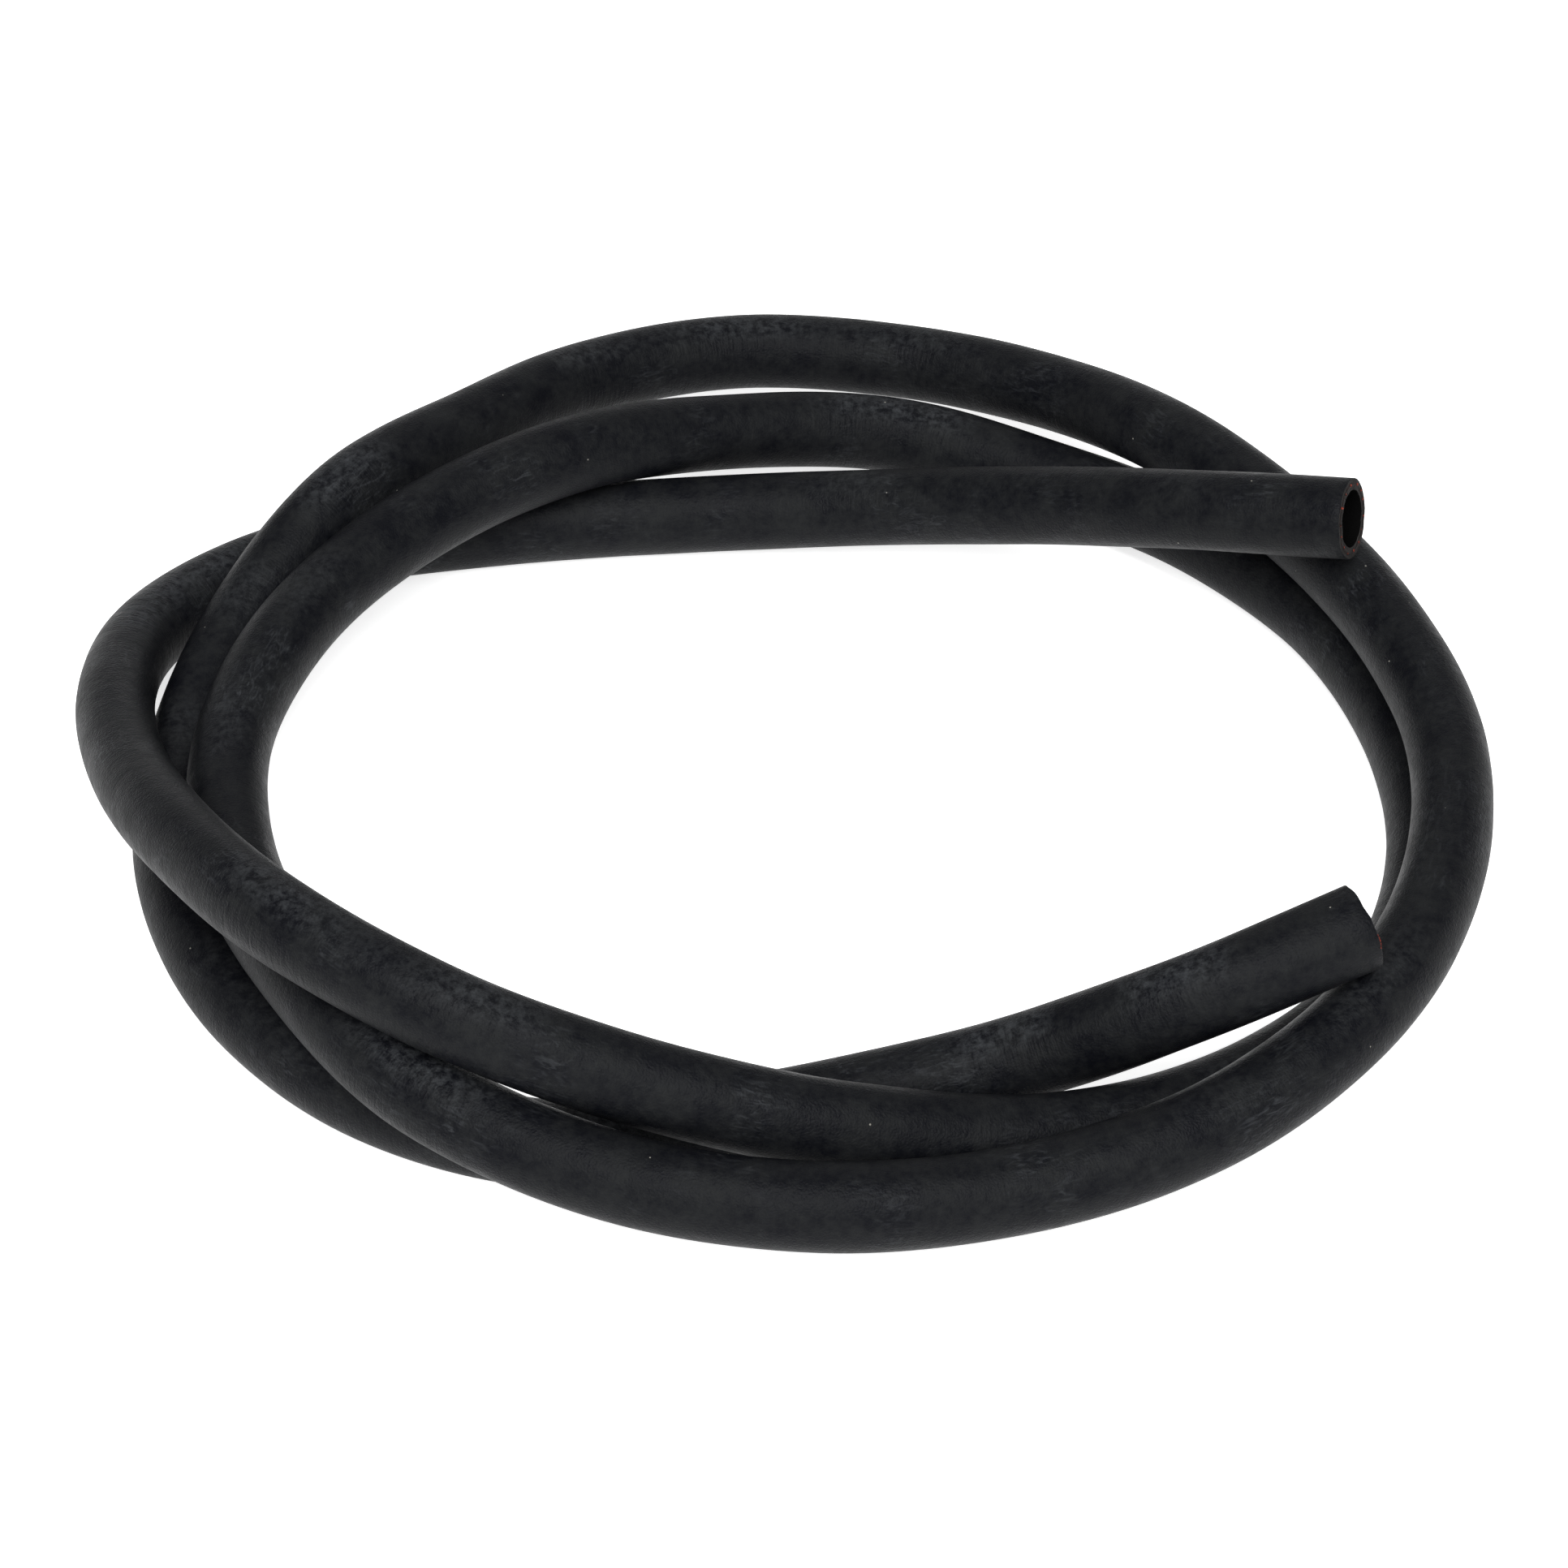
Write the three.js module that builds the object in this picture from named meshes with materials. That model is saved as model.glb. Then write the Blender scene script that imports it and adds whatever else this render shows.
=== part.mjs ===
// Coolant hose: one length of plain rubber heater hose, both ends cut square, lying in a loose coil.
// Millimetres, +Z up, the floor at z = 0.

import * as THREE from "three";

// Section of the hose.
const BORE = 16;
const WALL = 3.5;
const OUTER_DIAMETER = BORE + 2 * WALL;
const SECTION_SIDES = 12;

// The hose bends more gently than this step can show, so one step covers about 1.6 diameters.
const STEPS = 82;

// Clear height left under a stretch that rests on the floor.
const FLOOR_GAP = 0.75;

// The diameter that the coil was laid out for: a thicker or thinner hose keeps the coil's proportions.
const LAID_FOR = 23;

// Middle of the coil's plan box, which is placed over the origin.
const MIDDLE = { x: -2.9, y: 12.8 };

// The way the hose lies, from the end on top of the right side to the other cut end.
// Each point is [x, y, lift]: x and y in millimetres as seen from above, and lift in hose diameters,
// 0 for a stretch on the floor and about 1 for a stretch lying on another one.
const ROUTE = [
  // Free end, resting on the coil's right side and running down to the floor behind.
  [160, 55, 2.23], [117, 73, 1.79], [72, 102, 0.93], [23, 122, 0.25], [-31, 126, 0],
  // On the floor, under two later turns, and round the left side.
  [-84, 120, 0], [-137, 108, 0], [-167, 87, 0.08], [-184, 57, 0.32], [-187, 18, 0.72], [-177.5, -25, 1.14],
  // Over two strands at the front left, and down along the front.
  [-156, -72, 1.74], [-125, -114, 2.12], [-80, -142, 1.87], [-30, -150, 1.17], [21, -150, 0.55], [72, -141, 0.07],
  // On the floor up the right side and along the back.
  [121, -120, 0], [159, -81, 0], [176, -30, 0], [174, 24, 0], [156, 75, 0], [122, 117, 0], [80, 144, 0.05], [32, 160, 0.25],
  // Over the first strand, and down the left side as its inner turn.
  [-19, 149, 0.62], [-63, 123, 1.07], [-105, 91, 1.05], [-137, 50, 0.88], [-152, -2, 0.78], [-146, -55, 0.85],
  // Under the first turn at the front left, and along the front as the outer turn.
  [-125, -104, 1.07], [-92, -145, 0.96], [-44, -167, 0.6], [8, -175, 0.46], [61, -167, 0.4], [110, -148, 0.6],
  // Lying on the inner turn up the right side, and wide round the back.
  [150, -113.5, 0.88], [174, -66, 1.02], [181, -12, 1.07], [170, 40, 1.1], [147, 88, 1.1], [117, 129, 1.08],
  [85, 166, 0.7], [40, 193, 0.42], [-13, 199, 0.42], [-60, 179, 0.6], [-94.5, 142.5, 0.91],
  // Over the first strand again, and down to the floor on the left.
  [-129, 102, 1.08], [-156, 61, 0.44], [-169, 9, 0], [-164.5, -43.5, 0], [-142.5, -91, 0],
  // On the floor under both front turns, and up onto the right side, to the other cut end.
  [-104, -127, 0], [-53, -143, 0], [0, -131, 0], [58, -119.5, 0.32], [103, -120.5, 1.3], [148, -108, 1.91],
];

function routeCurve() {
  const spread = OUTER_DIAMETER / LAID_FOR;
  const points = ROUTE.map(([x, y, lift]) => new THREE.Vector3(
    (x - MIDDLE.x) * spread,
    (y - MIDDLE.y) * spread,
    (0.5 + lift) * OUTER_DIAMETER + FLOOR_GAP,
  ));
  const curve = new THREE.CatmullRomCurve3(points, false, "centripetal");
  curve.arcLengthDivisions = 40 * ROUTE.length;
  return curve;
}

// One ring of section corners, counter-clockwise.
function ringPoints(diameter) {
  return Array.from({ length: SECTION_SIDES }, (_, i) => {
    const angle = (2 * Math.PI * i) / SECTION_SIDES;
    return new THREE.Vector2(Math.cos(angle), Math.sin(angle)).multiplyScalar(diameter / 2);
  });
}

function hoseGeometry() {
  const section = new THREE.Shape(ringPoints(OUTER_DIAMETER));
  section.holes.push(new THREE.Path(ringPoints(BORE).reverse()));
  return new THREE.ExtrudeGeometry(section, {
    steps: STEPS,
    extrudePath: routeCurve(),
    bevelEnabled: false,
  });
}

const rubber = new THREE.MeshStandardMaterial({ color: "#1d1e21", roughness: 0.7, metalness: 0 });
const hose = new THREE.Mesh(hoseGeometry(), rubber);
hose.name = "hose";

const coolantHose = new THREE.Group();
coolantHose.add(hose);

export default coolantHose;
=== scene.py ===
"""Coolant hose: one length of black rubber heater hose with both ends cut square, lying in a loose coil."""

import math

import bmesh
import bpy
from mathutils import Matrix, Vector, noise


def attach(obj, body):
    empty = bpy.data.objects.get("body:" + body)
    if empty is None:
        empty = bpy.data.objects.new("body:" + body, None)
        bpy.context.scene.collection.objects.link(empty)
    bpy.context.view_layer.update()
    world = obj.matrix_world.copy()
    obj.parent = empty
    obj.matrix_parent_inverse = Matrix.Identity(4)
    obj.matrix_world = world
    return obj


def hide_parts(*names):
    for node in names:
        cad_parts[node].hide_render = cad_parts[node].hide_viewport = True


bl_info = {
    "name": "Coolant hose",
    "version": (1, 0, 0),
    "blender": (4, 5, 0),
    "location": "View3D > Sidebar > Coolant hose",
    "description": "Makes a coil of rubber coolant hose with knitted reinforcement showing at its cut ends",
    "category": "Add Mesh",
}

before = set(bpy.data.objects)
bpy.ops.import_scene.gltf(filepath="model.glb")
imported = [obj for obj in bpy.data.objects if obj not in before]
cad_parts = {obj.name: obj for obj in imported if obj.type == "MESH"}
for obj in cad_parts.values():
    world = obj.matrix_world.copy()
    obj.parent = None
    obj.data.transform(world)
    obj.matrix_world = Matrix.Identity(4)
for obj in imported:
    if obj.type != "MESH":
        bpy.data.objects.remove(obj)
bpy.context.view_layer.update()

# The way the hose lies, from the end on top of the right side to the other cut end.
# Each point is (x, y, lift): x and y in metres as seen from above, and lift in hose diameters,
# 0 for a stretch on the floor and about 1 for a stretch lying on another one.
ROUTE = [
    # Free end, resting on the coil's right side and running down to the floor behind.
    (0.160, 0.055, 2.23), (0.117, 0.073, 1.79), (0.072, 0.102, 0.93), (0.023, 0.122, 0.25),
    (-0.031, 0.126, 0),
    # On the floor, under two later turns, and round the left side.
    (-0.084, 0.120, 0), (-0.137, 0.108, 0), (-0.167, 0.087, 0.08), (-0.184, 0.057, 0.32),
    (-0.187, 0.018, 0.72), (-0.1775, -0.025, 1.14),
    # Over two strands at the front left, and down along the front.
    (-0.156, -0.072, 1.74), (-0.125, -0.114, 2.12), (-0.080, -0.142, 1.87), (-0.030, -0.150, 1.17),
    (0.021, -0.150, 0.55), (0.072, -0.141, 0.07),
    # On the floor up the right side and along the back.
    (0.121, -0.120, 0), (0.159, -0.081, 0), (0.176, -0.030, 0), (0.174, 0.024, 0), (0.156, 0.075, 0),
    (0.122, 0.117, 0), (0.080, 0.144, 0.05), (0.032, 0.160, 0.25),
    # Over the first strand, and down the left side as its inner turn.
    (-0.019, 0.149, 0.62), (-0.063, 0.123, 1.07), (-0.105, 0.091, 1.05), (-0.137, 0.050, 0.88),
    (-0.152, -0.002, 0.78), (-0.146, -0.055, 0.85),
    # Under the first turn at the front left, and along the front as the outer turn.
    (-0.125, -0.104, 1.07), (-0.092, -0.145, 0.96), (-0.044, -0.167, 0.6), (0.008, -0.175, 0.46),
    (0.061, -0.167, 0.4), (0.110, -0.148, 0.6),
    # Lying on the inner turn up the right side, and wide round the back.
    (0.150, -0.1135, 0.88), (0.174, -0.066, 1.02), (0.181, -0.012, 1.07), (0.170, 0.040, 1.1),
    (0.147, 0.088, 1.1), (0.117, 0.129, 1.08),
    (0.085, 0.166, 0.7), (0.040, 0.193, 0.42), (-0.013, 0.199, 0.42), (-0.060, 0.179, 0.6),
    (-0.0945, 0.1425, 0.91),
    # Over the first strand again, and down to the floor on the left.
    (-0.129, 0.102, 1.08), (-0.156, 0.061, 0.44), (-0.169, 0.009, 0), (-0.1645, -0.0435, 0),
    (-0.1425, -0.091, 0),
    # On the floor under both front turns, and up onto the right side, to the other cut end.
    (-0.104, -0.127, 0), (-0.053, -0.143, 0), (0, -0.131, 0), (0.058, -0.1195, 0.32),
    (0.103, -0.1205, 1.3), (0.148, -0.108, 1.91),
]

# Middle of the coil's plan, which lies over the origin, and the height left under it on the floor.
COIL_MIDDLE = Vector((-0.0029, 0.0128, 0))
FLOOR_GAP = 0.00075

# Distance between the hose's rings, and the number of its sides.
RING_SPACING = 0.0035
SIDES = 40

# How many rings ahead and behind a bend is measured over.
BEND_RINGS = 4

# The hose is round at its ends and comes to its full ovality over this length. Its thickness wanders by
# SWELL, over lengths of about SWELL_LENGTH.
ROUND_END = 0.05
SWELL = 0.0002
SWELL_LENGTH = 0.035

# Width of the rim at the edges of a cut end.
RIM = 0.0002

# A reinforcing thread's radius, and how deep a cut end of it reaches into the wall.
THREAD_RADIUS = 0.0004
THREAD_ROOT = 0.0012

# The photograph looks down on the middle of the coil from the front.
VIEW_ELEVATION = math.radians(40)
VIEW_DISTANCE = 1.2166
VIEW_CENTRE = Vector((0.0029, -0.0128, 0.01225))

# Place and width of each soft light, and the strength of the light from all round.
KEY_PLACE = Vector((0, -2.5, 3.3))
KEY_WIDTH = 3.4
BACK_PLACE = Vector((0, 2.6, 1.6))
BACK_WIDTH = 2.0
AMBIENT = 0.3


def linear_colour(code):
    """sRGB hex to the linear colour that Blender's sockets hold."""
    parts = [int(code[i:i + 2], 16) / 255 for i in (1, 3, 5)]
    return tuple(p / 12.92 if p <= 0.04045 else ((p + 0.055) / 1.055) ** 2.4 for p in parts) + (1.0,)


def add_node(tree, kind, inputs=None, **settings):
    """Add a node with its settings, and give each input a value or link it to another node's output."""
    node = tree.nodes.new(kind)
    for name, value in settings.items():
        setattr(node, name, value)
    for socket, value in (inputs or {}).items():
        if isinstance(value, bpy.types.NodeSocket):
            tree.links.new(value, node.inputs[socket])
        else:
            node.inputs[socket].default_value = value
    return node


class HoseSettings(bpy.types.PropertyGroup):
    """Sizes and colours of the hose."""

    outer_diameter: bpy.props.FloatProperty(
        name="Outside diameter", description="Across the outside of the hose",
        default=0.023, min=0.005, max=0.1, precision=4, unit="LENGTH")
    bore: bpy.props.FloatProperty(
        name="Bore", description="Across the inside of the hose",
        default=0.016, min=0.002, max=0.09, precision=4, unit="LENGTH")
    length: bpy.props.FloatProperty(
        name="Length", description="Cut length of the hose, along its middle",
        default=3.03, min=0.1, max=20, unit="LENGTH")
    ovality: bpy.props.FloatProperty(
        name="Ovality", description="How much narrower the hose is across a bend than in height",
        default=0.06, min=0, max=0.2, subtype="FACTOR")
    rubber_colour: bpy.props.FloatVectorProperty(
        name="Rubber", description="Colour of the clean rubber",
        default=linear_colour("#0a0b0f"), size=4, min=0, max=1, subtype="COLOR")
    bloom_colour: bpy.props.FloatVectorProperty(
        name="Bloom", description="Colour of the dull bloom and dust on the rubber",
        default=linear_colour("#191a1b"), size=4, min=0, max=1, subtype="COLOR")
    # This pale colour serves the real scuffs and also the painted highlight on the crests of tight bends.
    scuff_and_highlight_colour: bpy.props.FloatVectorProperty(
        name="Scuffs", description="Colour of the pale scuffs along the hose",
        default=linear_colour("#3f4144"), size=4, min=0, max=1, subtype="COLOR")
    lint_colour: bpy.props.FloatVectorProperty(
        name="Lint", description="Colour of the specks of lint on the hose",
        default=linear_colour("#77756f"), size=4, min=0, max=1, subtype="COLOR")
    # The bore's darker colour is painted shade inside the hose.
    bore_shade_colour: bpy.props.FloatVectorProperty(
        name="Bore rubber", description="Colour of the rubber inside the hose",
        default=linear_colour("#080808"), size=4, min=0, max=1, subtype="COLOR")
    cut_colour: bpy.props.FloatVectorProperty(
        name="Cut rubber", description="Colour of the rubber at a cut end",
        default=linear_colour("#120f0e"), size=4, min=0, max=1, subtype="COLOR")
    thread_colour: bpy.props.FloatVectorProperty(
        name="Thread", description="Colour of the knitted thread inside the wall",
        default=linear_colour("#7e362b"), size=4, min=0, max=1, subtype="COLOR")
    thread_ends: bpy.props.IntProperty(
        name="Thread ends", description="Number of thread ends that show at each cut end",
        default=14, min=6, max=60)


class StageSettings(bpy.types.PropertyGroup):
    """Floor, light and camera."""

    floor_colour: bpy.props.FloatVectorProperty(
        name="Floor", description="Colour of the plain floor",
        default=linear_colour("#f4f4f4"), size=4, min=0, max=1, subtype="COLOR")
    floor_width: bpy.props.FloatProperty(
        name="Floor width", description="Width of the floor",
        default=6.0, min=1, max=20, unit="LENGTH")
    floor_glow: bpy.props.FloatProperty(
        name="Floor glow", description="Light that comes through the translucent floor",
        default=0.72, min=0, max=5)
    key_light: bpy.props.FloatProperty(
        name="Key light", description="Power of the wide soft light above and behind the camera",
        default=290, min=0, max=1000, unit="POWER")
    back_light: bpy.props.FloatProperty(
        name="Back light", description="Power of the soft light behind the coil",
        default=10, min=0, max=1000, unit="POWER")
    lens: bpy.props.FloatProperty(
        name="Focal length", description="Focal length of the camera on a 36 mm wide sensor",
        default=100, min=20, max=300, subtype="DISTANCE_CAMERA")


def segment_point(p0, p1, p2, p3, t):
    """Point at t, from 0 to 1, between p1 and p2 on a centripetal Catmull-Rom curve."""
    d0, d1, d2 = ((b - a).length ** 0.5 for a, b in ((p0, p1), (p1, p2), (p2, p3)))
    m1 = ((p1 - p0) / d0 - (p2 - p0) / (d0 + d1) + (p2 - p1) / d1) * d1
    m2 = ((p2 - p1) / d1 - (p3 - p1) / (d1 + d2) + (p3 - p2) / d2) * d1
    t2 = t * t
    t3 = t2 * t
    return (2 * t3 - 3 * t2 + 1) * p1 + (t3 - 2 * t2 + t) * m1 + (3 * t2 - 2 * t3) * p2 + (t3 - t2) * m2


def route_line(diameter):
    """The hose's middle line, as points a RING_SPACING apart."""
    points = [Vector((x, y, (0.5 + lift) * diameter + FLOOR_GAP)) - COIL_MIDDLE for x, y, lift in ROUTE]
    lowest = 0.5 * diameter + 0.5 * FLOOR_GAP
    ends = [2 * points[0] - points[1], *points, 2 * points[-1] - points[-2]]
    fine = [
        segment_point(*ends[i:i + 4], step / 40)
        for i in range(len(points) - 1)
        for step in range(40)
    ]
    fine.append(points[-1])
    reach = [0.0]
    for a, b in zip(fine, fine[1:]):
        reach.append(reach[-1] + (b - a).length)
    count = round(reach[-1] / RING_SPACING)
    line = []
    i = 0
    for k in range(count + 1):
        goal = reach[-1] * k / count
        while i < len(fine) - 2 and reach[i + 1] < goal:
            i += 1
        part = (goal - reach[i]) / (reach[i + 1] - reach[i])
        point = fine[i].lerp(fine[i + 1], min(1, part))
        point.z = max(point.z, lowest)
        line.append(point)
    return line


def line_frames(line):
    """At each point of the line: its direction, level sideways and upwards."""
    frames = []
    for k in range(len(line)):
        along = (line[min(k + 1, len(line) - 1)] - line[max(k - 1, 0)]).normalized()
        side = along.cross(Vector((0, 0, 1))).normalized()
        frames.append((along, side, side.cross(along)))
    return frames


def new_material(name):
    """A material with an empty node tree, and that tree."""
    material = bpy.data.materials.new(name)
    material.use_nodes = True
    material.node_tree.nodes.clear()
    return material, material.node_tree


def rubber_material(settings):
    """Extruded EPDM rubber, cured and then handled: near black and satin. A grey bloom lies on it in clouds,
    it has faint scuffs and specks of lint, the crests of tight bends carry a painted highlight, and its skin
    is finely ribbed across the hose."""
    material, tree = new_material("Extruded EPDM rubber")
    place = add_node(tree, "ShaderNodeTexCoord").outputs["Object"]
    skin = add_node(tree, "ShaderNodeAttribute", attribute_name="skin").outputs["Vector"]

    # Bloom, in clouds 11 mm across with 2.5 mm mottling in them.
    clouds = add_node(tree, "ShaderNodeTexNoise", {
        "Vector": place, "Scale": 1 / 0.011, "Detail": 3, "Roughness": 0.5}).outputs["Fac"]
    mottling = add_node(tree, "ShaderNodeTexNoise", {
        "Vector": place, "Scale": 1 / 0.0025, "Detail": 6, "Roughness": 0.72}).outputs["Fac"]
    bloom = add_node(tree, "ShaderNodeMix", {0: 0.55, 2: clouds, 3: mottling}, data_type="FLOAT").outputs[0]
    bloom = add_node(tree, "ShaderNodeMapRange", {
        "Value": bloom, "From Min": 0.4, "From Max": 0.62}).outputs["Result"]
    colour = add_node(tree, "ShaderNodeMix", {
        0: bloom, 6: tuple(settings.rubber_colour), 7: tuple(settings.bloom_colour)},
        data_type="RGBA").outputs[2]

    # Scuffs 1.5 mm wide and 5 mm long, in the places where the hose has been dragged.
    along = add_node(tree, "ShaderNodeMapping", {
        "Vector": skin, "Scale": (1 / 0.005, 1 / 0.0015, 1 / 0.0015)}).outputs["Vector"]
    strokes = add_node(tree, "ShaderNodeTexNoise", {
        "Vector": along, "Scale": 1, "Detail": 4, "Roughness": 0.6, "Distortion": 1.4}).outputs["Fac"]
    strokes = add_node(tree, "ShaderNodeMapRange", {
        "Value": strokes, "From Min": 0.5, "From Max": 0.74}).outputs["Result"]
    dragged = add_node(tree, "ShaderNodeTexNoise", {
        "Vector": place, "Scale": 1 / 0.025, "Detail": 3}).outputs["Fac"]
    dragged = add_node(tree, "ShaderNodeMapRange", {
        "Value": dragged, "From Min": 0.5, "From Max": 0.7, "To Max": 0.5}).outputs["Result"]
    scuffs = add_node(tree, "ShaderNodeMath", {0: strokes, 1: dragged}, operation="MULTIPLY").outputs[0]
    colour = add_node(tree, "ShaderNodeMix", {
        0: scuffs, 6: colour, 7: tuple(settings.scuff_and_highlight_colour)}, data_type="RGBA").outputs[2]

    # Painted highlight: the top of a tight bend is painted pale along its crest, where the light falls on
    # it.
    tight = add_node(tree, "ShaderNodeAttribute", attribute_name="bend").outputs["Fac"]
    tight = add_node(tree, "ShaderNodeMapRange", {
        "Value": tight, "From Min": 0.15, "From Max": 0.25}).outputs["Result"]
    height = add_node(tree, "ShaderNodeSeparateXYZ", {"Vector": skin}).outputs["Z"]
    crest = add_node(tree, "ShaderNodeMapRange", {
        "Value": height, "From Min": 0.36 * settings.outer_diameter,
        "From Max": 0.5 * settings.outer_diameter}).outputs["Result"]
    painted_crest_highlight = add_node(tree, "ShaderNodeMath", {0: tight, 1: crest}, operation="MULTIPLY").outputs[0]
    uneven = add_node(tree, "ShaderNodeMapRange", {
        "Value": mottling, "From Min": 0.42, "From Max": 0.66, "To Max": 0.5}).outputs["Result"]
    painted_crest_highlight = add_node(tree, "ShaderNodeMath", {0: painted_crest_highlight, 1: uneven}, operation="MULTIPLY").outputs[0]
    colour = add_node(tree, "ShaderNodeMix", {
        0: painted_crest_highlight, 6: colour, 7: tuple(settings.scuff_and_highlight_colour)}, data_type="RGBA").outputs[2]

    # Specks of lint 0.5 mm across, one to each 9 mm or so, and most of those left out.
    cells = add_node(tree, "ShaderNodeTexVoronoi", {"Vector": place, "Scale": 1 / 0.009})
    near = add_node(tree, "ShaderNodeMath", {0: cells.outputs["Distance"], 1: 0.028}, operation="LESS_THAN")
    pick = add_node(tree, "ShaderNodeSeparateColor", {"Color": cells.outputs["Color"]})
    kept = add_node(tree, "ShaderNodeMath", {0: pick.outputs["Red"], 1: 0.6}, operation="GREATER_THAN")
    lint = add_node(tree, "ShaderNodeMath", {0: near.outputs[0], 1: kept.outputs[0]}, operation="MULTIPLY")
    colour = add_node(tree, "ShaderNodeMix", {
        0: lint.outputs[0], 6: colour, 7: tuple(settings.lint_colour)}, data_type="RGBA").outputs[2]

    # Painted shade: the bore is painted darker than the outside, with no bloom, lint or shine, to stand for
    # the shade inside the hose.
    section = add_node(tree, "ShaderNodeVectorMath", {
        0: skin, 1: (0, 1, 1)}, operation="MULTIPLY").outputs["Vector"]
    radius = add_node(tree, "ShaderNodeVectorMath", {0: section}, operation="LENGTH").outputs["Value"]
    outside = add_node(tree, "ShaderNodeMath", {
        0: radius, 1: (settings.outer_diameter + settings.bore) / 4}, operation="GREATER_THAN").outputs[0]
    colour = add_node(tree, "ShaderNodeMix", {
        0: outside, 6: tuple(settings.bore_shade_colour), 7: colour}, data_type="RGBA").outputs[2]
    shine = add_node(tree, "ShaderNodeMath", {0: outside, 1: 0.06}, operation="MULTIPLY").outputs[0]

    # Ribs 1 mm apart across the hose, over a skin with slow lumps and a 0.6 mm grain.
    across = add_node(tree, "ShaderNodeMapping", {
        "Vector": skin, "Scale": (1 / 0.001, 1 / 0.007, 1 / 0.007)}).outputs["Vector"]
    ribs = add_node(tree, "ShaderNodeTexNoise", {"Vector": across, "Scale": 1, "Detail": 2}).outputs["Fac"]
    lumps = add_node(tree, "ShaderNodeTexNoise", {
        "Vector": place, "Scale": 1 / 0.006, "Detail": 2}).outputs["Fac"]
    grain = add_node(tree, "ShaderNodeTexNoise", {
        "Vector": place, "Scale": 1 / 0.0006, "Detail": 3}).outputs["Fac"]
    patches = add_node(tree, "ShaderNodeMapRange", {
        "Value": clouds, "From Min": 0.42, "From Max": 0.6, "To Min": 0.15, "To Max": 0.6}).outputs["Result"]
    patches = add_node(tree, "ShaderNodeMath", {0: tight, 1: patches}, operation="ADD").outputs[0]
    lump_bump = add_node(tree, "ShaderNodeBump", {"Height": lumps, "Strength": 0.5, "Distance": 0.0006})
    rib_bump = add_node(tree, "ShaderNodeBump", {
        "Height": ribs, "Strength": patches, "Distance": 0.0003, "Normal": lump_bump.outputs["Normal"]})
    grain_bump = add_node(tree, "ShaderNodeBump", {
        "Height": grain, "Strength": 0.8, "Distance": 0.0003, "Normal": rib_bump.outputs["Normal"]})
    roughness = add_node(tree, "ShaderNodeMapRange", {
        "Value": bloom, "To Min": 0.4, "To Max": 0.56}).outputs["Result"]
    shader = add_node(tree, "ShaderNodeBsdfPrincipled", {
        "Base Color": colour, "Roughness": roughness, "IOR": 1.5,
        "Specular IOR Level": shine, "Normal": grain_bump.outputs["Normal"]})
    add_node(tree, "ShaderNodeOutputMaterial", {"Surface": shader.outputs["BSDF"]})
    return material


def cut_material(settings):
    """EPDM rubber cut with a blade: dull and brown-black, finely torn, with a faint rusty trace of the
    reinforcing thread round the middle of the wall."""
    material, tree = new_material("Knife cut EPDM rubber")
    place = add_node(tree, "ShaderNodeTexCoord").outputs["Object"]
    skin = add_node(tree, "ShaderNodeAttribute", attribute_name="skin").outputs["Vector"]
    section = add_node(tree, "ShaderNodeVectorMath", {
        0: skin, 1: (0, 1, 1)}, operation="MULTIPLY").outputs["Vector"]
    radius = add_node(tree, "ShaderNodeVectorMath", {0: section}, operation="LENGTH").outputs["Value"]
    # The trace of the thread is a ring 1.2 mm wide.
    middle = (settings.outer_diameter + settings.bore) / 4
    off = add_node(tree, "ShaderNodeMath", {0: radius, 1: middle}, operation="SUBTRACT").outputs[0]
    off = add_node(tree, "ShaderNodeMath", {0: off}, operation="ABSOLUTE").outputs[0]
    trace = add_node(tree, "ShaderNodeMapRange", {
        "Value": off, "From Min": 0.0002, "From Max": 0.0008, "To Min": 1, "To Max": 0}).outputs["Result"]
    tears = add_node(tree, "ShaderNodeTexNoise", {
        "Vector": place, "Scale": 1 / 0.0008, "Detail": 4}).outputs["Fac"]
    stain = add_node(tree, "ShaderNodeMapRange", {
        "Value": tears, "From Min": 0.45, "From Max": 0.65, "To Max": 0.03}).outputs["Result"]
    stain = add_node(tree, "ShaderNodeMath", {0: trace, 1: stain}, operation="MULTIPLY").outputs[0]
    colour = add_node(tree, "ShaderNodeMix", {
        0: stain, 6: tuple(settings.cut_colour), 7: tuple(settings.thread_colour)},
        data_type="RGBA").outputs[2]
    bump = add_node(tree, "ShaderNodeBump", {"Height": tears, "Strength": 0.7, "Distance": 0.0004})
    shader = add_node(tree, "ShaderNodeBsdfPrincipled", {
        "Base Color": colour, "Roughness": 0.75, "IOR": 1.5,
        "Specular IOR Level": 0.1, "Normal": bump.outputs["Normal"]})
    add_node(tree, "ShaderNodeOutputMaterial", {"Surface": shader.outputs["BSDF"]})
    return material


def thread_material(settings):
    """Rayon reinforcing thread, knitted round the hose inside its wall: russet and fibrous where it is
    cut, and blackened here and there by the rubber that was pressed through it."""
    material, tree = new_material("Knitted rayon thread")
    place = add_node(tree, "ShaderNodeTexCoord").outputs["Object"]
    fibres = add_node(tree, "ShaderNodeTexNoise", {
        "Vector": place, "Scale": 1 / 0.0005, "Detail": 3}).outputs["Fac"]
    dye = add_node(tree, "ShaderNodeMapRange", {
        "Value": fibres, "From Min": 0.38, "From Max": 0.6}).outputs["Result"]
    colour = add_node(tree, "ShaderNodeMix", {
        0: dye, 6: tuple(settings.cut_colour), 7: tuple(settings.thread_colour)},
        data_type="RGBA").outputs[2]
    bump = add_node(tree, "ShaderNodeBump", {"Height": fibres, "Strength": 0.8, "Distance": 0.0002})
    shader = add_node(tree, "ShaderNodeBsdfPrincipled", {
        "Base Color": colour, "Roughness": 0.85, "IOR": 1.5,
        "Specular IOR Level": 0.1, "Normal": bump.outputs["Normal"]})
    add_node(tree, "ShaderNodeOutputMaterial", {"Surface": shader.outputs["BSDF"]})
    return material


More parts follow.
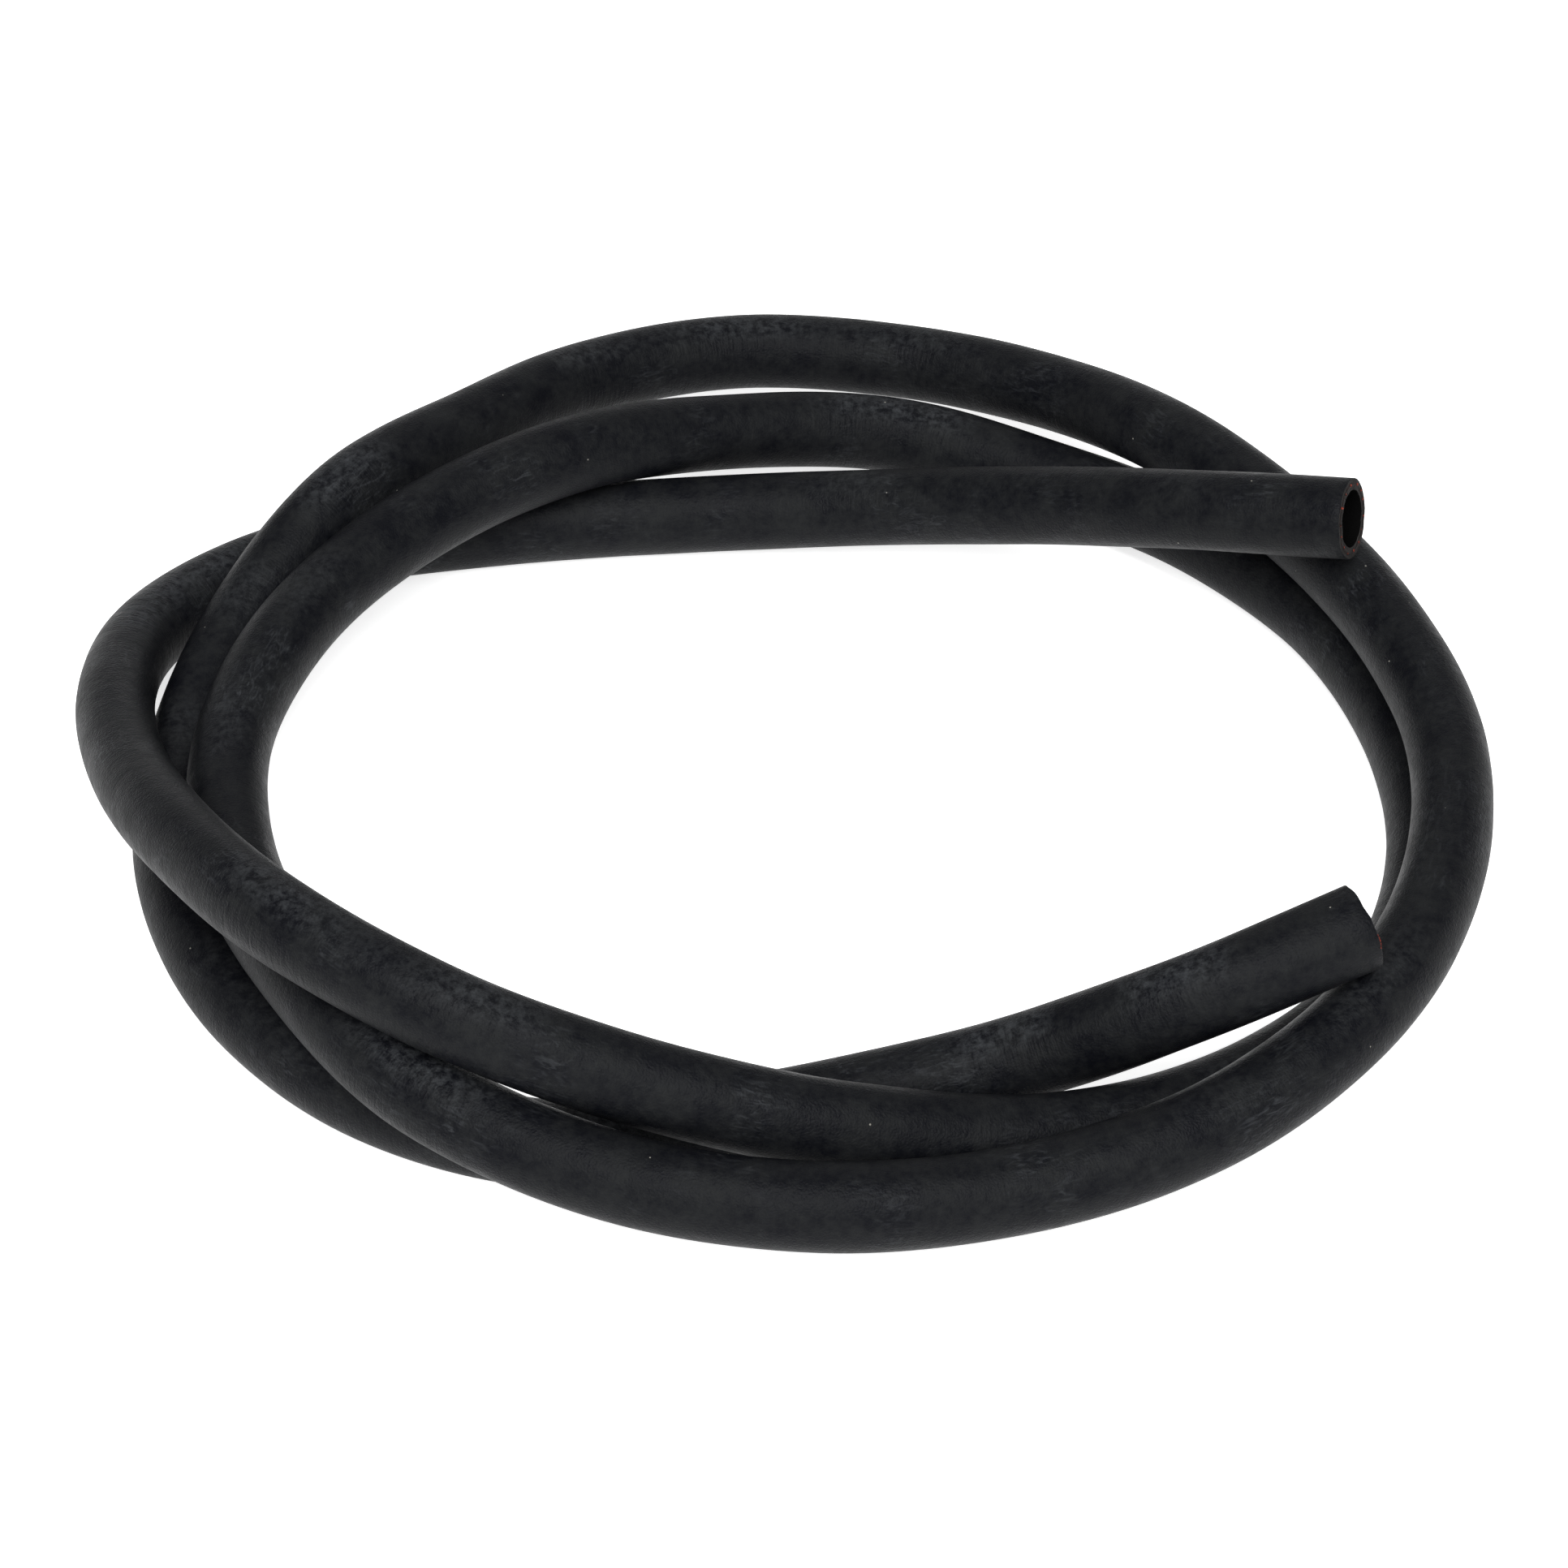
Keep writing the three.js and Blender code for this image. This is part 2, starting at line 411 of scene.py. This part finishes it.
def floor_material(settings):
    """Paper backdrop: white, uncoated and even, and lit through from behind so that shadows wash out."""
    material = bpy.data.materials.new("White paper backdrop")
    material.use_nodes = True
    shader = material.node_tree.nodes["Principled BSDF"]
    shader.inputs["Base Color"].default_value = tuple(settings.floor_colour)
    shader.inputs["Roughness"].default_value = 0.9
    shader.inputs["Specular IOR Level"].default_value = 0.1
    shader.inputs["Emission Color"].default_value = tuple(settings.floor_colour)
    shader.inputs["Emission Strength"].default_value = settings.floor_glow
    return material


def hose_ring(bm, skin, centre, turned, radii, reach, shift=None):
    """One ring of corners round the hose. radii are its half width and half height, and shift gives how
    far each corner is moved along the hose."""
    along, side, up = turned
    ring = []
    for k in range(SIDES):
        angle = 2 * math.pi * k / SIDES
        across = math.cos(angle) * radii[0]
        height = math.sin(angle) * radii[1]
        moved = along * shift(angle) if shift else Vector()
        corner = bm.verts.new(centre + side * across + up * height + moved)
        corner[skin] = (reach, across, height)
        ring.append(corner)
    return ring


def blade_cut(outward, slant, slant_angle, rough, seed):
    """How far a hand-held blade's cut departs from a square end, at each angle round the hose: on the side
    at slant_angle it is at its full length, and opposite it is two slants short."""
    def shift(angle):
        ragged = noise.noise(Vector((2.2 * math.cos(angle), 2.2 * math.sin(angle), seed)))
        nicks = noise.noise(Vector((7 * math.cos(angle), 7 * math.sin(angle), seed + 9)))
        return outward * (slant * (math.cos(angle - slant_angle) - 1) + rough * ragged + 0.5 * rough * nicks)
    return shift


def end_rings(bm, skin, centre, turned, outer, inner, reach, shift, outward):
    """Rings of a cut end, from the outside over the cut face to the bore, with crisp narrow rims."""
    wall = outer - inner
    rings = []
    for radius, back in (
        (outer, RIM),
        (outer - RIM, 0),
        (outer - 0.32 * wall, 0.00005),
        (outer - 0.5 * wall, -0.00015),
        (outer - 0.68 * wall, 0.00005),
        (inner + RIM, 0),
        (inner, RIM),
    ):
        place = centre - turned[0] * outward * back
        rings.append(hose_ring(bm, skin, place, turned, (radius, radius), reach, shift))
    return rings


def hose_mesh(settings):
    """The hose as one closed tube, and its middle line: outside, far cut end, bore and near cut end."""
    line = route_line(settings.outer_diameter)
    directions = line_frames(line)
    outer = settings.outer_diameter / 2
    inner = settings.bore / 2
    last = len(line) - 1
    bm = bmesh.new()
    skin = bm.verts.layers.float_vector.new("skin")
    bend = bm.verts.layers.float.new("bend")
    outside = []
    bore = []
    for k in range(1, last):
        reach = k * RING_SPACING
        oval = settings.ovality * min(1, min(k, last - k) * RING_SPACING / ROUND_END)
        swell = SWELL * noise.noise(Vector((reach / SWELL_LENGTH, 0, 0)))
        wide = outer * (1 - 0.75 * oval) + swell
        high = outer * (1 + 0.25 * oval) + swell
        thick = outer - inner
        outside.append(hose_ring(bm, skin, line[k], directions[k], (wide, high), reach))
        turn = directions[max(0, k - BEND_RINGS)][0].angle(directions[min(last, k + BEND_RINGS)][0])
        for corner in outside[-1]:
            corner[bend] = turn * settings.outer_diameter / (2 * BEND_RINGS * RING_SPACING)
        bore.append(hose_ring(bm, skin, line[k], directions[k], (wide - thick, high - thick), reach))
    near = end_rings(bm, skin, line[0], directions[0], outer, inner, 0, NEAR_CUT, -1)
    far = end_rings(bm, skin, line[-1], directions[-1], outer, inner, last * RING_SPACING, FAR_CUT, 1)
    loop = [near[0], *outside, *far, *reversed(bore), *reversed(near[1:])]
    cut_faces = (near[1:-1], far[1:-1])
    for a, b in zip(loop, [*loop[1:], loop[0]]):
        is_cut = any(a in rings and b in rings for rings in cut_faces)
        for k in range(SIDES):
            face = bm.faces.new((a[k - 1], a[k], b[k], b[k - 1]))
            face.smooth = not is_cut
            face.material_index = int(is_cut)
    bmesh.ops.recalc_face_normals(bm, faces=bm.faces)
    mesh = bpy.data.meshes.new("coolant_hose")
    bm.to_mesh(mesh)
    bm.free()
    return mesh, line


def select_faces(piece, wanted):
    """In edit mode, select only the faces that pass the test."""
    bm = bmesh.from_edit_mesh(piece.data)
    for face in bm.faces:
        face.select_set(wanted(face))
    bmesh.update_edit_mesh(piece.data)


def thread_tuft():
    """One thread cut off at the face, standing on the origin along +Z: a stub with a domed, frayed top."""
    bpy.ops.object.select_all(action="DESELECT")
    bpy.ops.mesh.primitive_cylinder_add(vertices=9, radius=THREAD_RADIUS, depth=2 * THREAD_ROOT)
    tuft = bpy.context.object
    bpy.ops.object.mode_set(mode="EDIT")
    select_faces(tuft, lambda face: face.normal.z > 0.9)
    bpy.ops.mesh.extrude_region_move(TRANSFORM_OT_translate={"value": (0, 0, 0.25 * THREAD_ROOT)})
    bpy.ops.transform.resize(value=(0.75, 0.75, 1))
    bpy.ops.mesh.inset(thickness=0.35 * THREAD_RADIUS, depth=-0.2 * THREAD_RADIUS)
    bpy.ops.object.mode_set(mode="OBJECT")
    bevel = tuft.modifiers.new("Rounded", "BEVEL")
    bevel.width = 0.12 * THREAD_RADIUS
    bevel.segments = 1
    bpy.ops.object.modifier_apply(modifier=bevel.name)
    bpy.ops.object.shade_smooth()
    return tuft


def loose_thread(points):
    """A thread pulled out of the cut, along these points."""
    bpy.ops.object.select_all(action="DESELECT")
    bpy.ops.curve.primitive_nurbs_path_add()
    thread = bpy.context.object
    spline = thread.data.splines[0]
    spline.points.add(max(0, len(points) - len(spline.points)))
    for point, place in zip(spline.points, points):
        point.co = (*place, 1)
    thread.data.bevel_depth = 0.3 * THREAD_RADIUS
    thread.data.bevel_resolution = 2
    thread.data.use_fill_caps = True
    thread.data.resolution_u = 6
    bpy.ops.object.convert(target="MESH")
    return bpy.context.object


# The near end is cut almost square, and the far end is 2.4 mm short on the side turned away from the front.
NEAR_CUT = blade_cut(-1, 0.0002, 0, 0.0003, 1)
FAR_CUT = blade_cut(1, 0.0012, math.radians(38), 0.0005, 4)


def end_point(centre, turned, shift, angle, radius, out):
    """A point at a cut end: at an angle round the hose, a radius, and a height over the cut's surface."""
    along, side, up = turned
    return centre + (side * math.cos(angle) + up * math.sin(angle)) * radius + along * (shift(angle) + out)


def join_pieces(context, pieces, name, material):
    """Join the pieces into one, with one material, that rides with the hose."""
    bpy.ops.object.select_all(action="DESELECT")
    for piece in pieces:
        piece.select_set(True)
    context.view_layer.objects.active = pieces[0]
    bpy.ops.object.join()
    joined = context.object
    joined.name = name
    joined.data.materials.clear()
    joined.data.materials.append(material)
    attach(joined, "root")


class HOSE_OT_stage(bpy.types.Operator):
    """Set up the camera, the plain floor and the soft light"""

    bl_idname = "hose.stage"
    bl_label = "Stage"

    def execute(self, context):
        settings = context.scene.hose_stage
        back = Vector((0, -math.cos(VIEW_ELEVATION), math.sin(VIEW_ELEVATION)))
        bpy.ops.object.camera_add(
            location=VIEW_CENTRE + back * VIEW_DISTANCE, rotation=(math.pi / 2 - VIEW_ELEVATION, 0, 0))
        camera = context.object
        camera.name = "camera"
        camera.data.lens = settings.lens
        camera.data.sensor_width = 36
        camera.data.dof.use_dof = False
        context.scene.camera = camera
        bpy.ops.mesh.primitive_plane_add(size=settings.floor_width)
        floor = context.object
        floor.name = "floor"
        floor.data.materials.append(floor_material(settings))
        for name, place, size, power in (
            ("key_light", KEY_PLACE, KEY_WIDTH, settings.key_light),
            ("back_light", BACK_PLACE, BACK_WIDTH, settings.back_light),
        ):
            bpy.ops.object.light_add(type="AREA", location=place)
            light = context.object
            light.name = name
            light.data.energy = power
            light.data.size = size
            light.rotation_euler = (-place).to_track_quat("-Z", "Y").to_euler()
        world = bpy.data.worlds.new("studio")
        world.use_nodes = True
        world.node_tree.nodes["Background"].inputs["Color"].default_value = linear_colour("#ffffff")
        world.node_tree.nodes["Background"].inputs["Strength"].default_value = AMBIENT
        context.scene.world = world
        context.scene.view_settings.view_transform = "Standard"
        return {"FINISHED"}


class HOSE_OT_tube(bpy.types.Operator):
    """Make the hose along its route"""

    bl_idname = "hose.tube"
    bl_label = "Hose"

    def execute(self, context):
        settings = context.scene.hose_settings
        mesh, line = hose_mesh(settings)
        hose = bpy.data.objects.new("coolant_hose", mesh)
        context.collection.objects.link(hose)
        mesh.materials.append(rubber_material(settings))
        mesh.materials.append(cut_material(settings))
        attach(hose, "root")
        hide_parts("hose")
        return {"FINISHED"}


class HOSE_OT_threads(bpy.types.Operator):
    """Make the reinforcing thread's cut ends round both faces, and the one pulled out of the far end"""

    bl_idname = "hose.threads"
    bl_label = "Thread ends"

    def execute(self, context):
        settings = context.scene.hose_settings
        line = route_line(settings.outer_diameter)
        directions = line_frames(line)
        middle = (settings.outer_diameter + settings.bore) / 4
        outer = settings.outer_diameter / 2
        material = thread_material(settings)
        # Each end's name, its ring, the way out along the hose, its cut, and how deep its threads stand.
        for name, end, outward, shift, depth in (
            ("near", 0, -1, NEAR_CUT, 0.98),
            ("far", -1, 1, FAR_CUT, 1.2),
        ):
            along, side, up = directions[end]
            first = thread_tuft()
            tufts = []
            for k in range(settings.thread_ends):
                stray = [noise.noise(Vector((k * 1.7, j * 3.1, outward))) for j in range(4)]
                angle = 2 * math.pi * (k + 0.5 * stray[0]) / settings.thread_ends
                spread = middle + 0.0005 * stray[1]
                sunk = THREAD_ROOT * (depth - 0.3 * stray[1])
                tuft = first.copy()
                tuft.data = first.data.copy()
                context.collection.objects.link(tuft)
                way = along * outward + 0.5 * (side * stray[2] + up * stray[3])
                lean = way.to_track_quat("Z", "Y").to_matrix().to_4x4()
                size = Matrix.Diagonal((1 + 0.5 * stray[3], 1 + 0.4 * stray[2], 1, 1))
                place = end_point(line[end], directions[end], shift, angle, spread, -outward * sunk)
                tuft.data.transform(Matrix.Translation(place) @ lean @ size)
                tufts.append(tuft)
            bpy.data.objects.remove(first)
            if name == "far":
                # Up out of the wall, over the rim and a little way round it.
                tufts.append(loose_thread([
                    end_point(line[end], directions[end], shift, math.radians(degrees), radius, out)
                    for degrees, radius, out in (
                        (30, middle, -0.001),
                        (30, middle, 0.0003),
                        (27, middle + 0.001, 0.0003),
                        (23, outer - 0.0003, 0.0002),
                        (17, outer, 0.0002),
                        (11, outer, -0.0002),
                    )
                ]))
            join_pieces(context, tufts, f"thread_ends_{name}", material)
        return {"FINISHED"}


class HOSE_PT_panel(bpy.types.Panel):
    """Panel with the hose's settings and operators"""

    bl_idname = "HOSE_PT_panel"
    bl_label = "Coolant hose"
    bl_space_type = "VIEW_3D"
    bl_region_type = "UI"
    bl_category = "Coolant hose"

    def draw(self, context):
        for group in (context.scene.hose_stage, context.scene.hose_settings):
            for name in group.__annotations__:
                self.layout.prop(group, name)
        for operator in OPERATORS:
            self.layout.operator(operator.bl_idname)


OPERATORS = (HOSE_OT_stage, HOSE_OT_tube, HOSE_OT_threads)
CLASSES = (HoseSettings, StageSettings, *OPERATORS, HOSE_PT_panel)


def register():
    for cls in CLASSES:
        bpy.utils.register_class(cls)
    bpy.types.Scene.hose_settings = bpy.props.PointerProperty(type=HoseSettings)
    bpy.types.Scene.hose_stage = bpy.props.PointerProperty(type=StageSettings)


def unregister():
    del bpy.types.Scene.hose_stage
    del bpy.types.Scene.hose_settings
    for cls in reversed(CLASSES):
        bpy.utils.unregister_class(cls)


def main():
    register()
    bpy.ops.hose.stage()
    bpy.ops.hose.tube()
    bpy.ops.hose.threads()


if __name__ == "__main__":
    main()
